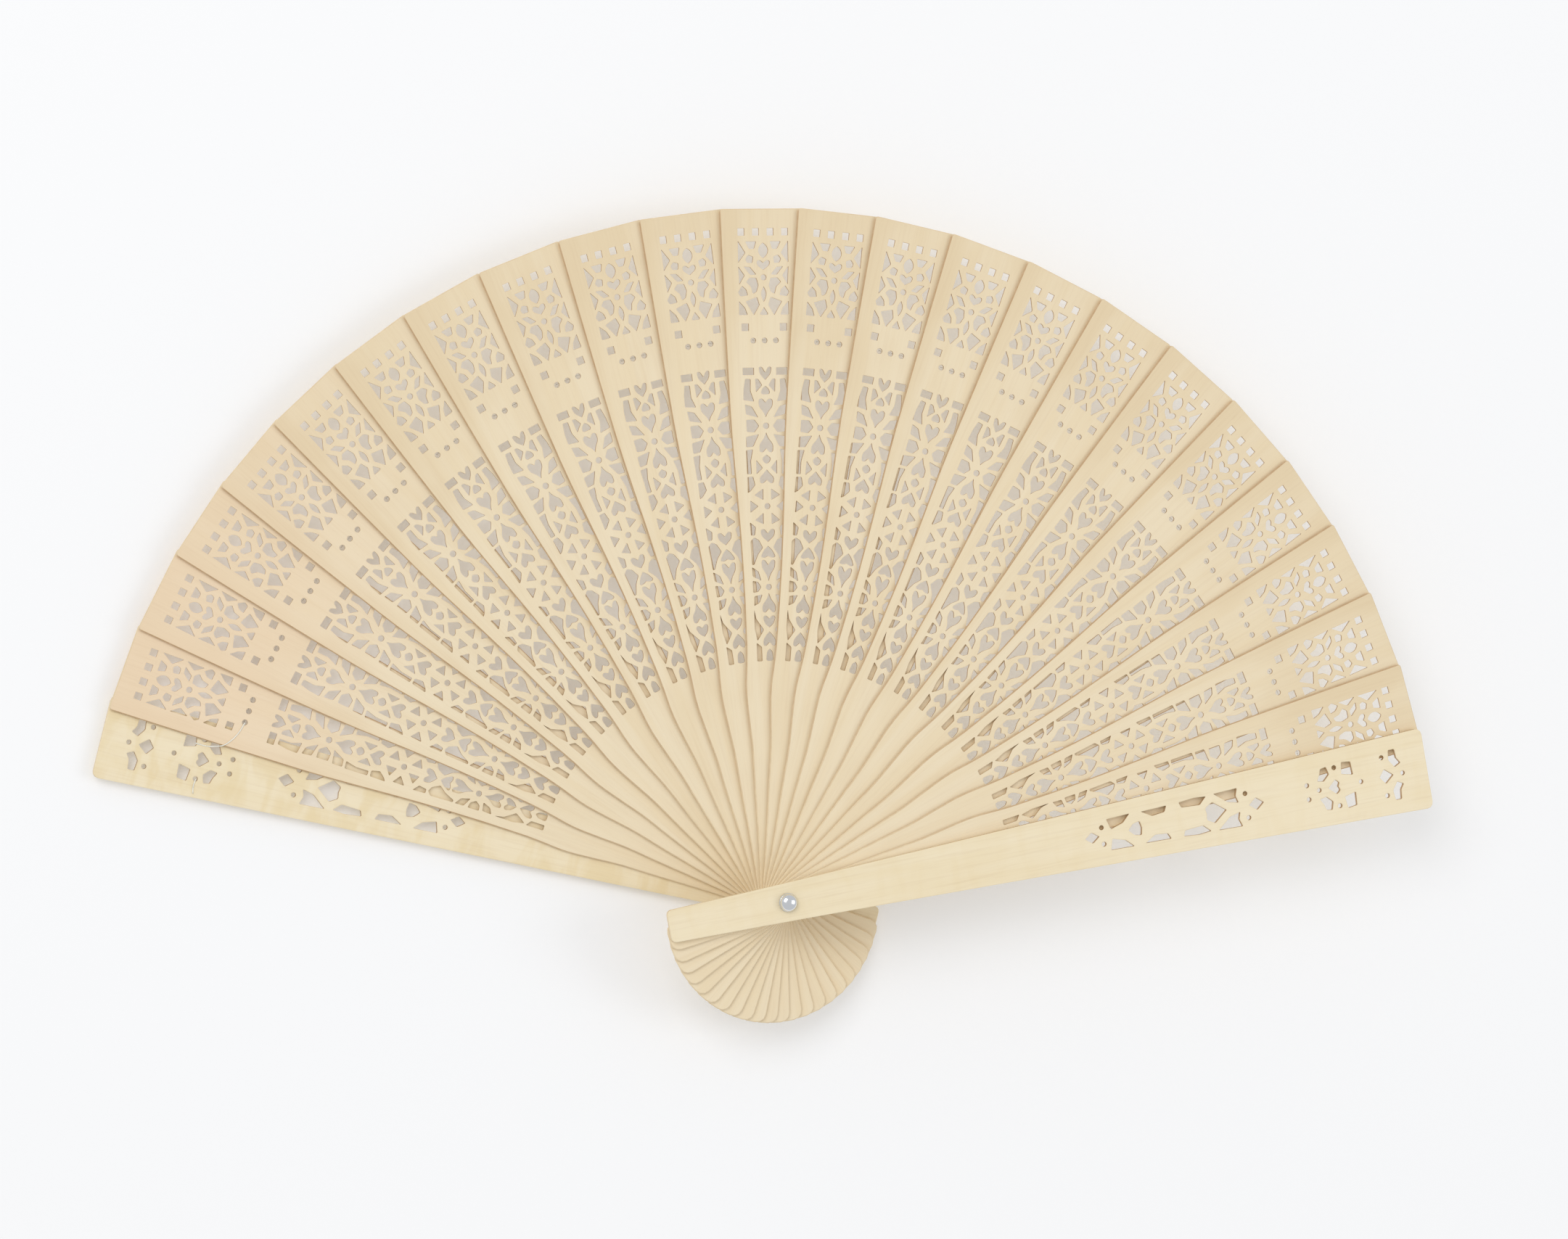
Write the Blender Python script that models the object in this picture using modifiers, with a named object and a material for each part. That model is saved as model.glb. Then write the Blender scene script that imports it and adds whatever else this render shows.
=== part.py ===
"""Pierced wooden brise hand fan, open, lying on its back.

Twenty-two flat inner sticks and two guards turn on one rivet and are joined near their
tips by a thin thread.  Each stick lies on its left neighbour, so the blades climb like a
winding stair from the back guard to the front guard.

Frame, in metres: the rivet's axis is Z, the origin is on that axis at the rivet's flat
back face, +Y points to the tips of the middle sticks and +X to the right.
"""

from math import asin, cos, pi, radians, sin

import bpy

COLLECTION_NAME = "hand_fan"

# The fan as a whole.
STICK_COUNT = 22
STEP_ANGLE = radians(6.89)
BACK_GUARD_STEP = radians(5.7)
FRONT_GUARD_STEP = radians(5.0)
TIP_RADIUS = 0.171

# Sticks strung by hand never spread quite evenly: a slow ripple along the row.
RIPPLE_ANGLE = radians(0.38)
RIPPLE_PERIOD = 8.6
RIPPLE_START = 3.7

# Thread, and the space that it needs between two blades.
THREAD_DIAMETER = 0.00025
THREAD_CLEARANCE = 0.00005
BLADE_GAP = THREAD_DIAMETER + 2 * THREAD_CLEARANCE
FITTING_GAP = 0.0003

# Inner sticks: half widths, and the radii at which they hold.
STICK_THICKNESS = 0.00065
STICK_TAIL_RADIUS = 0.0309
STICK_TAIL_HALF_WIDTH = 0.0036
STICK_TAIL_ROUNDING = 0.0020
STICK_PIVOT_HALF_WIDTH = 0.0035
STICK_NECK_HALF_WIDTH = 0.0046
STICK_NECK_RADIUS = 0.036
STICK_SHOULDER_HALF_WIDTH = 0.0063
STICK_SHOULDER_RADIUS = 0.052
STICK_WAIST_HALF_WIDTH = 0.0060
STICK_WAIST_RADIUS = 0.064
STICK_TIP_HALF_WIDTH = 0.0110
STICK_TIP_ROUNDING = 0.0006

# Guards.
GUARD_THICKNESS = 0.0013
GUARD_TAIL_RADIUS = 0.0305
GUARD_TAIL_HALF_WIDTH = 0.0040
GUARD_PIVOT_HALF_WIDTH = 0.0047
GUARD_TIP_HALF_WIDTH = 0.0103
GUARD_TAIL_ROUNDING = 0.0009
GUARD_TIP_ROUNDING = 0.0012

# Rivet and its washers.
SHANK_RADIUS = 0.0012
PIVOT_CLEARANCE = 0.0004
HEAD_RADIUS = 0.0022
HEAD_HEIGHT = 0.0014
CLINCH_RADIUS = 0.0021
CLINCH_HEIGHT = 0.0006
WASHER_RADIUS = 0.0027
WASHER_THICKNESS = 0.0003

# Piercing of the inner sticks; insets run from the tip towards the rivet.
SQUARE_SIDE = 0.0017
SQUARE_SPACING = 0.00375
SQUARE_INSET = 0.0056
KITE_WIDTH = 0.0034
KITE_LENGTH = 0.0040
KITE_OFFSET = 0.0028
KITE_INSET = 0.0188
EYE_SIDE = 0.0017
EYE_OFFSET = 0.0049
EYE_INSET = 0.0293
THREAD_HOLE_RADIUS = 0.00062
THREAD_HOLE_SPACING = 0.0029
THREAD_INSET = 0.0326
WINDOW_SIDE = 0.0024
WINDOW_OFFSET = 0.0043
WINDOW_INSET = 0.0401
FLOWER_HOLE_RADIUS = 0.0007
FLOWER_INSETS = (0.0536, 0.0735, 0.0935)
HEART_WIDTH = 0.0030
HEART_LENGTH = 0.0026
HEART_INSETS = (0.0401, 0.0490, 0.0807)
UPTURNED_HEART_INSETS = (0.0585, 0.0667, 0.0985, 0.1063)
LONG_HEART_LENGTH = 0.0040
LONG_HEART_INSET = 0.0878

# Piercing of the guards.  Each outline is one side of the centre line: (across, inset).
GUARD_HOLE_RADIUS = 0.0006
GUARD_CENTRE_HOLE_INSETS = (0.0067, 0.0181, 0.0295)
GUARD_PAIRED_HOLES = ((0.0049, 0.0117), (0.0049, 0.0247), (0.0031, 0.0492), (0.0021, 0.0880))
GUARD_THREAD_HOLE_OFFSET = 0.0018
GUARD_CENTRE_OUTLINES = (
    ((0.0, 0.0129), (0.0018, 0.0115), (0.0, 0.0093)),
    ((0.0, 0.0269), (0.0018, 0.0249), (0.0009, 0.0239), (0.0, 0.0244)),
    ((0.0, 0.0485), (0.0015, 0.0466), (0.0, 0.0447)),
    ((0.0014, 0.0602), (0.0026, 0.0582), (0.0, 0.0548)),
    ((0.0, 0.0810), (0.0013, 0.0797), (0.0017, 0.0779)),
    ((0.0, 0.0926), (0.0013, 0.0908), (0.0, 0.0890)),
)
GUARD_SIDE_OUTLINES = (
    (
        (0.0039, 0.0098),
        (0.0063, 0.0096),
        (0.0063, 0.0080),
        (0.0041, 0.0079),
        (0.0028, 0.0069),
        (0.0020, 0.0085),
    ),
    ((0.0030, 0.0229), (0.0058, 0.0225), (0.0055, 0.0202), (0.0023, 0.0200)),
    (
        (0.0024, 0.0296),
        (0.0038, 0.0287),
        (0.0051, 0.0284),
        (0.0054, 0.0269),
        (0.0035, 0.0264),
        (0.0021, 0.0279),
    ),
    ((0.0046, 0.0574), (0.0048, 0.0512), (0.0030, 0.0519), (0.0013, 0.0513), (0.0020, 0.0540)),
    ((0.0030, 0.0663), (0.0043, 0.0668), (0.0046, 0.0628), (0.0044, 0.0597), (0.0027, 0.0616)),
    ((0.0025, 0.0743), (0.0040, 0.0770), (0.0040, 0.0738), (0.0042, 0.0704), (0.0028, 0.0711)),
    ((0.0013, 0.0855), (0.0039, 0.0863), (0.0041, 0.0803), (0.0023, 0.0823)),
)

HOLE_SIDES = 6
BORE_SIDES = 8
TURNED_STEPS = 24
DOME_RINGS = 5

STICK_PITCH = STICK_THICKNESS + BLADE_GAP

# Heights of the blades' back faces, from the rivet's flat back upwards.
REAR_WASHER_BASE = CLINCH_HEIGHT + FITTING_GAP
BACK_GUARD_BASE = REAR_WASHER_BASE + WASHER_THICKNESS + FITTING_GAP
FIRST_STICK_BASE = BACK_GUARD_BASE + GUARD_THICKNESS + BLADE_GAP
FRONT_GUARD_BASE = FIRST_STICK_BASE + STICK_COUNT * STICK_PITCH
FRONT_WASHER_BASE = FRONT_GUARD_BASE + GUARD_THICKNESS + FITTING_GAP
HEAD_BASE = FRONT_WASHER_BASE + WASHER_THICKNESS + FITTING_GAP

# The thread runs round the fan at one radius and steps sideways by its own width where it
# passes from one blade to the next, so that its lengths pass each other as the fan folds.
THREAD_RADIUS = TIP_RADIUS - THREAD_INSET
THREAD_SIDE_STEP = THREAD_DIAMETER + 2 * THREAD_CLEARANCE
START_EDGE_INSET = 0.0290
START_END_INSET = 0.0225
START_END_PAST_EDGE = 0.0017
LOOSE_END_OFFSET = 0.0049
LOOSE_END_LENGTH = 0.0036
LOOSE_END_INSET = 0.0247
LOOSE_END_RADIUS = TIP_RADIUS - LOOSE_END_INSET

WOOD_COLOUR = (0.84, 0.69, 0.46, 1.0)
GUARD_COLOUR = (0.86, 0.74, 0.50, 1.0)
THREAD_COLOUR = (0.90, 0.87, 0.78, 1.0)
STEEL_COLOUR = (0.78, 0.80, 0.82, 1.0)


def clear_scene():
    """Remove the objects that a new scene starts with."""
    for old in list(bpy.data.objects):
        bpy.data.objects.remove(old, do_unlink=True)


def part_collection():
    """The collection that holds every part of the fan."""
    collection = bpy.data.collections.new(COLLECTION_NAME)
    bpy.context.scene.collection.children.link(collection)
    return collection


def material(name, colour, roughness, metallic):
    """A plain Principled material."""
    made = bpy.data.materials.new(name)
    made.use_nodes = True
    shader = made.node_tree.nodes["Principled BSDF"]
    shader.inputs["Base Color"].default_value = colour
    shader.inputs["Roughness"].default_value = roughness
    shader.inputs["Metallic"].default_value = metallic
    return made


def add_part(collection, name, data, finish):
    """An object of its own with its own copy of a finish."""
    part = bpy.data.objects.new(name, data)
    collection.objects.link(part)
    own = finish.copy()
    own.name = name
    if not data.materials:
        data.materials.append(own)
    part.material_slots[0].link = "OBJECT"
    part.material_slots[0].material = own
    return part


# Angles of the open fan, about the rivet's axis from +Y, left positive.


def stick_angle(number):
    """The angle of an inner stick, counted from 1 at the left."""
    ripple = RIPPLE_ANGLE * sin(2 * pi * (number - RIPPLE_START) / RIPPLE_PERIOD)
    return ((STICK_COUNT + 1) / 2 - number) * STEP_ANGLE + ripple


def back_guard_angle():
    """The back guard stands one step left of an even row's first stick."""
    return (STICK_COUNT - 1) / 2 * STEP_ANGLE + BACK_GUARD_STEP


def front_guard_angle():
    """The front guard stands one step right of an even row's last stick."""
    return -(STICK_COUNT - 1) / 2 * STEP_ANGLE - FRONT_GUARD_STEP


# Outlines, in a blade's own frame: x across the blade, y from the rivet to the tip.


def regular_ring(centre_x, centre_y, radius, sides):
    """A regular polygon round a centre."""
    turns = [2 * pi * (index + 0.5) / sides for index in range(sides)]
    return [(centre_x + radius * cos(turn), centre_y + radius * sin(turn)) for turn in turns]


def square_ring(centre_x, centre_y, side):
    """A square whose sides follow the blade."""
    return regular_ring(centre_x, centre_y, side / 2 ** 0.5, 4)


def kite_ring(centre_x, centre_y, width, length):
    """A kite with its long end towards the rivet, or towards the tip if length is negative."""
    shoulder = centre_y + 0.2 * length
    return [
        (centre_x, centre_y - length / 2),
        (centre_x + width / 2, shoulder),
        (centre_x, centre_y + length / 2),
        (centre_x - width / 2, shoulder),
    ]


def mirrored(right_side):
    """A closed outline from the points of its right side; points on the middle stay single."""
    left_side = [(-x, y) for x, y in reversed(right_side) if x > 0]
    return list(right_side) + left_side


def from_insets(outline, side=1):
    """Points given as (across, inset) put at their radii, on one side of the blade."""
    return [(side * across, TIP_RADIUS - inset) for across, inset in outline]


def stick_half_width(radius):
    """Half the width of an inner stick outside its waist."""
    share = (radius - STICK_WAIST_RADIUS) / (TIP_RADIUS - STICK_WAIST_RADIUS)
    return STICK_WAIST_HALF_WIDTH + share * (STICK_TIP_HALF_WIDTH - STICK_WAIST_HALF_WIDTH)


def guard_half_width(radius):
    """Half the width of a guard outside the rivet."""
    share = radius / TIP_RADIUS
    return GUARD_PIVOT_HALF_WIDTH + share * (GUARD_TIP_HALF_WIDTH - GUARD_PIVOT_HALF_WIDTH)


def stick_outline():
    """Round tail, narrow neck, soft shoulder, and a blade that widens to the tip."""
    tail_corner = STICK_TAIL_HALF_WIDTH - STICK_TAIL_ROUNDING
    tip_corner = STICK_TIP_HALF_WIDTH - STICK_TIP_ROUNDING
    diagonal = 1 - 0.5 ** 0.5
    tail_mid = (
        STICK_TAIL_HALF_WIDTH - diagonal * STICK_TAIL_ROUNDING,
        -STICK_TAIL_RADIUS + diagonal * STICK_TAIL_ROUNDING,
    )
    return mirrored([
        (tail_corner, -STICK_TAIL_RADIUS),
        tail_mid,
        (STICK_TAIL_HALF_WIDTH, -STICK_TAIL_RADIUS + STICK_TAIL_ROUNDING),
        (STICK_PIVOT_HALF_WIDTH, 0.0),
        (STICK_NECK_HALF_WIDTH, STICK_NECK_RADIUS),
        (STICK_SHOULDER_HALF_WIDTH, STICK_SHOULDER_RADIUS),
        (STICK_WAIST_HALF_WIDTH, STICK_WAIST_RADIUS),
        (STICK_TIP_HALF_WIDTH, TIP_RADIUS - STICK_TIP_ROUNDING),
        (tip_corner, TIP_RADIUS),
    ])


def guard_outline():
    """A straight taper with small rounded corners."""
    return mirrored([
        (GUARD_TAIL_HALF_WIDTH - GUARD_TAIL_ROUNDING, -GUARD_TAIL_RADIUS),
        (GUARD_TAIL_HALF_WIDTH, -GUARD_TAIL_RADIUS + GUARD_TAIL_ROUNDING),
        (GUARD_PIVOT_HALF_WIDTH, 0.0),
        (guard_half_width(TIP_RADIUS - GUARD_TIP_ROUNDING), TIP_RADIUS - GUARD_TIP_ROUNDING),
        (GUARD_TIP_HALF_WIDTH - GUARD_TIP_ROUNDING, TIP_RADIUS),
    ])


def pivot_bore():
    """The hole that the rivet's shank passes through."""
    flats_radius = SHANK_RADIUS + PIVOT_CLEARANCE
    return regular_ring(0.0, 0.0, flats_radius / cos(pi / BORE_SIDES), BORE_SIDES)


def stick_openings():
    """The square row, the upper panel, the thread holes and the lower panel."""
    rings = [pivot_bore()]
    for step in (-1.5, -0.5, 0.5, 1.5):
        rings.append(square_ring(step * SQUARE_SPACING, TIP_RADIUS - SQUARE_INSET, SQUARE_SIDE))
    for side in (-1, 1):
        rings.append(kite_ring(side * KITE_OFFSET, TIP_RADIUS - KITE_INSET, KITE_WIDTH, KITE_LENGTH))
        rings.append(square_ring(side * EYE_OFFSET, TIP_RADIUS - EYE_INSET, EYE_SIDE))
        rings.append(square_ring(side * WINDOW_OFFSET, TIP_RADIUS - WINDOW_INSET, WINDOW_SIDE))
    for step in (-1, 0, 1):
        across = step * THREAD_HOLE_SPACING
        rings.append(regular_ring(across, THREAD_RADIUS, THREAD_HOLE_RADIUS, HOLE_SIDES))
    for inset in FLOWER_INSETS:
        rings.append(regular_ring(0.0, TIP_RADIUS - inset, FLOWER_HOLE_RADIUS, HOLE_SIDES))
    for inset in HEART_INSETS:
        rings.append(kite_ring(0.0, TIP_RADIUS - inset, HEART_WIDTH, HEART_LENGTH))
    for inset in UPTURNED_HEART_INSETS:
        rings.append(kite_ring(0.0, TIP_RADIUS - inset, HEART_WIDTH, -HEART_LENGTH))
    rings.append(kite_ring(0.0, TIP_RADIUS - LONG_HEART_INSET, HEART_WIDTH, LONG_HEART_LENGTH))
    return rings


def guard_openings():
    """Two clusters near the tip, the thread holes, and the long group below them."""
    rings = [pivot_bore()]
    for inset in GUARD_CENTRE_HOLE_INSETS:
        rings.append(regular_ring(0.0, TIP_RADIUS - inset, GUARD_HOLE_RADIUS, HOLE_SIDES))
    for outline in GUARD_CENTRE_OUTLINES:
        rings.append(mirrored(from_insets(outline)))
    for side in (-1, 1):
        for outline in GUARD_SIDE_OUTLINES:
            rings.append(from_insets(outline, side))
        for hole in GUARD_PAIRED_HOLES + ((GUARD_THREAD_HOLE_OFFSET, THREAD_INSET),):
            across, along = from_insets([hole], side)[0]
            rings.append(regular_ring(across, along, GUARD_HOLE_RADIUS, HOLE_SIDES))
    return rings


def flat_blade_data(name, outline, openings, thickness):
    """A flat curve, filled between its outline and its openings and given its thickness."""
    curve = bpy.data.curves.new(name, "CURVE")
    curve.dimensions = "2D"
    curve.fill_mode = "BOTH"
    curve.extrude = thickness / 2
    for ring in [outline] + openings:
        spline = curve.splines.new("POLY")
        spline.points.add(len(ring) - 1)
        spline.use_cyclic_u = True
        for point, (across, along) in zip(spline.points, ring):
            point.co = (across, along, 0.0, 1.0)
    return curve


def thread_data(name, route):
    """A round thread along a route of points."""
    curve = bpy.data.curves.new(name, "CURVE")
    curve.dimensions = "3D"
    curve.bevel_depth = THREAD_DIAMETER / 2
    curve.bevel_resolution = 2
    curve.use_fill_caps = True
    spline = curve.splines.new("POLY")
    spline.points.add(len(route) - 1)
    for point, place in zip(spline.points, route):
        point.co = (*place, 1.0)
    return curve


def on_arc(angle, radius, height):
    """A point at an angle right of a blade's centre line."""
    return (radius * sin(angle), radius * cos(angle), height)


def edge_angle(radius):
    """The angle from a stick's centre line to its edge."""
    return asin(stick_half_width(radius) / radius)


def span_route(step, next_hole_offset):
    """Thread behind one stick, past its right edge and up to the next blade's left hole."""
    under = -STICK_THICKNESS / 2 - BLADE_GAP / 2
    start_angle = -THREAD_HOLE_SPACING / THREAD_RADIUS
    rise_angle = edge_angle(THREAD_RADIUS) + THREAD_DIAMETER / THREAD_RADIUS
    end_angle = step - (next_hole_offset + 2 * THREAD_DIAMETER) / THREAD_RADIUS
    lower_radius = THREAD_RADIUS - THREAD_SIDE_STEP / 2
    upper_radius = THREAD_RADIUS + THREAD_SIDE_STEP / 2
    return [
        on_arc(start_angle, upper_radius, under),
        on_arc((start_angle + rise_angle) / 2, upper_radius, under),
        on_arc(rise_angle, upper_radius, under),
        on_arc((rise_angle + end_angle) / 2, THREAD_RADIUS, under + 0.7 * STICK_PITCH),
        on_arc(end_angle, lower_radius, under + STICK_PITCH),
    ]


def starting_route():
    """Thread from the first stick's left hole over its edge and down onto the back guard."""
    over = STICK_THICKNESS / 2 + BLADE_GAP / 2
    down = over - STICK_PITCH
    edge_radius = TIP_RADIUS - START_EDGE_INSET
    end_radius = TIP_RADIUS - START_END_INSET
    middle_radius = (edge_radius + end_radius) / 2
    climb = edge_radius - THREAD_RADIUS
    past_edge = edge_angle(edge_radius) + THREAD_DIAMETER / edge_radius
    fall_angle = past_edge + 0.4 * START_END_PAST_EDGE / edge_radius
    landed_angle = past_edge + 0.8 * START_END_PAST_EDGE / edge_radius
    end_angle = past_edge + START_END_PAST_EDGE / edge_radius
    return [
        on_arc(-THREAD_HOLE_SPACING / THREAD_RADIUS, THREAD_RADIUS, over),
        on_arc(-0.62 * past_edge, THREAD_RADIUS + 0.25 * climb, over),
        on_arc(-0.88 * past_edge, THREAD_RADIUS + 0.67 * climb, over),
        on_arc(-past_edge, edge_radius, over),
        on_arc(-fall_angle, edge_radius + 0.4 * (middle_radius - edge_radius), over - 0.6 * STICK_PITCH),
        on_arc(-landed_angle, middle_radius, down),
        on_arc(-end_angle, end_radius, down),
    ]


def loose_end_route():
    """The thread's short loose end on the back guard's face."""
    over = GUARD_THICKNESS / 2 + BLADE_GAP / 2
    start_angle = LOOSE_END_OFFSET / LOOSE_END_RADIUS
    end_angle = start_angle + LOOSE_END_LENGTH / LOOSE_END_RADIUS
    return [
        on_arc(-start_angle, LOOSE_END_RADIUS, over),
        on_arc(-(start_angle + end_angle) / 2, LOOSE_END_RADIUS + THREAD_DIAMETER, over),
        on_arc(-end_angle, LOOSE_END_RADIUS, over),
    ]


def turned_part(collection, name, profile, finish):
    """A profile at +X, top to bottom, turned about the rivet's axis."""
    mesh = bpy.data.meshes.new(name)
    edges = [(index, index + 1) for index in range(len(profile) - 1)]
    mesh.from_pydata([(radius, 0.0, height) for radius, height in profile], edges, [])
    part = add_part(collection, name, mesh, finish)
    screw = part.modifiers.new("turn", "SCREW")
    screw.steps = TURNED_STEPS
    screw.render_steps = TURNED_STEPS
    screw.use_merge_vertices = True
    screw.merge_threshold = 0.00001
    screw.use_smooth_shade = True
    return part


def rivet_profile():
    """Domed front head, shank through every blade, and a flat clinched back."""
    profile = []
    for ring in range(DOME_RINGS + 1):
        turn = ring / DOME_RINGS * pi / 2
        profile.append((HEAD_RADIUS * sin(turn), HEAD_BASE + HEAD_HEIGHT * cos(turn)))
    profile.extend([
        (SHANK_RADIUS, HEAD_BASE),
        (SHANK_RADIUS, CLINCH_HEIGHT),
        (CLINCH_RADIUS, CLINCH_HEIGHT),
        (CLINCH_RADIUS, 0.0),
        (0.0, 0.0),
    ])
    return profile


def washer_profile(base):
    """A flat ring, closed on itself."""
    inner = SHANK_RADIUS + PIVOT_CLEARANCE
    top = base + WASHER_THICKNESS
    return [(inner, top), (WASHER_RADIUS, top), (WASHER_RADIUS, base), (inner, base), (inner, top)]


def add_blades(collection, wood, guard_wood):
    """The guards and sticks, each turned about the rivet to its place in the open fan."""
    guard_data = flat_blade_data("guard", guard_outline(), guard_openings(), GUARD_THICKNESS)
    stick_data = flat_blade_data("stick", stick_outline(), stick_openings(), STICK_THICKNESS)
    back_guard = add_part(collection, "back_guard", guard_data, guard_wood)
    back_guard.location.z = BACK_GUARD_BASE + GUARD_THICKNESS / 2
    back_guard.rotation_euler.z = back_guard_angle()
    sticks = []
    for number in range(1, STICK_COUNT + 1):
        stick = add_part(collection, f"stick_{number:02d}", stick_data, wood)
        height = FIRST_STICK_BASE + (number - 1) * STICK_PITCH + STICK_THICKNESS / 2
        stick.location.z = height
        stick.rotation_euler.z = stick_angle(number)
        sticks.append(stick)
    front_guard = add_part(collection, "front_guard", guard_data, guard_wood)
    front_guard.location.z = FRONT_GUARD_BASE + GUARD_THICKNESS / 2
    front_guard.rotation_euler.z = front_guard_angle()
    return back_guard, sticks


def add_thread(collection, back_guard, sticks, thread):
    """The thread, in the lengths that move with each blade."""
    for number, stick in enumerate(sticks, start=1):
        last = number == STICK_COUNT
        next_angle = front_guard_angle() if last else stick_angle(number + 1)
        next_hole = GUARD_THREAD_HOLE_OFFSET if last else THREAD_HOLE_SPACING
        route = span_route(stick_angle(number) - next_angle, next_hole)
        name = f"thread_span_{number:02d}"
        span = add_part(collection, name, thread_data(name, route), thread)
        span.parent = stick
    start = add_part(collection, "thread_start", thread_data("thread_start", starting_route()), thread)
    start.parent = sticks[0]
    end_data = thread_data("thread_loose_end", loose_end_route())
    loose_end = add_part(collection, "thread_loose_end", end_data, thread)
    loose_end.parent = back_guard


def main():
    clear_scene()
    collection = part_collection()
    wood = material("stick_wood", WOOD_COLOUR, 0.55, 0.0)
    guard_wood = material("guard_wood", GUARD_COLOUR, 0.55, 0.0)
    thread = material("thread", THREAD_COLOUR, 0.8, 0.0)
    steel = material("rivet_steel", STEEL_COLOUR, 0.18, 1.0)
    back_guard, sticks = add_blades(collection, wood, guard_wood)
    add_thread(collection, back_guard, sticks, thread)
    turned_part(collection, "rivet", rivet_profile(), steel)
    turned_part(collection, "rear_washer", washer_profile(REAR_WASHER_BASE), steel)
    turned_part(collection, "front_washer", washer_profile(FRONT_WASHER_BASE), steel)


main()
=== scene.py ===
"""Looks of a pierced wooden hand fan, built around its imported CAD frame.

Every new piece lies where its CAD node lies: blades take their angle and height from the
node that they replace, the thread follows the blades, and the rivet and its washers take
their heights from their nodes.  Lengths are metres unless a name ends in _MM or _CM.
"""

from math import atan2, cos, pi, radians, sin
from typing import NamedTuple

import bmesh
import bpy
from bpy.props import FloatProperty, FloatVectorProperty, PointerProperty
from mathutils import Euler, Matrix, Vector


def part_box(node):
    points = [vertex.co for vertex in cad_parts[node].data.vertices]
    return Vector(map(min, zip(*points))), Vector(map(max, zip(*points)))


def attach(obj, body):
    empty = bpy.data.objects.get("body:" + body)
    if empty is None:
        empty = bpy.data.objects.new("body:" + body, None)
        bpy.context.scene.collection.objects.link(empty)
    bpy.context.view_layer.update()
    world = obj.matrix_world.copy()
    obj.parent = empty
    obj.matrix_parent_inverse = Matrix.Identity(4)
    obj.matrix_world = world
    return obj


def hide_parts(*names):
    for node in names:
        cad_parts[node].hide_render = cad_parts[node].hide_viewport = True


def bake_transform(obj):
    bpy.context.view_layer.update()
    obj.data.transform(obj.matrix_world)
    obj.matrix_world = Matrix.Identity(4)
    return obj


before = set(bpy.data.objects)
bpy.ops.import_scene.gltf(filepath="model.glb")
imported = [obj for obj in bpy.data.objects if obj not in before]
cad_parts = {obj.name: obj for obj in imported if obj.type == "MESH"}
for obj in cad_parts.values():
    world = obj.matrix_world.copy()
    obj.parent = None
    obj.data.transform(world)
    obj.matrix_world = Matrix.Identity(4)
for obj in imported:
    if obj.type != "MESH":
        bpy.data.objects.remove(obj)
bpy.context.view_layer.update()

bl_info = {
    "name": "Pierced Hand Fan",
    "version": (1, 0, 0),
    "blender": (4, 5, 0),
    "location": "3D View > Sidebar > Hand Fan",
    "description": "Builds the sticks, guards, thread, rivet and stage of a wooden hand fan",
    "category": "Object",
}

MM = 0.001
STICK_COUNT = 22

# The right half of each outline, from tail to tip with the rivet at 0: across, along, rounding.
STICK_OUTLINE_MM = (
    (3.6, -30.9, 2.4),
    (3.4, -14.0, 4.0),
    (3.35, 4.0, 4.0),
    (3.7, 15.0, 4.0),
    (4.5, 29.0, 3.0),
    (4.8, 37.5, 2.5),
    (5.8, 46.0, 2.5),
    (6.35, 52.0, 2.5),
    (5.95, 61.0, 3.0),
    (6.4, 79.0, 5.0),
    (7.3, 94.5, 4.0),
    (8.3, 107.0, 3.0),
    (9.1, 118.0, 3.0),
    (10.2, 146.0, 6.0),
    (11.0, 171.0, 0.8),
)
GUARD_OUTLINE_MM = (
    (4.0, -30.5, 1.2),
    (4.7, 0.0, 8.0),
    (10.3, 171.0, 1.6),
)
TIP_MM = 171.0

# The row of holes that the thread runs through: inset from the tip, and across of a hole.
THREAD_INSET_MM = 32.6
THREAD_HOLE_MM = 2.9
GUARD_THREAD_HOLE_MM = 1.8

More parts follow.
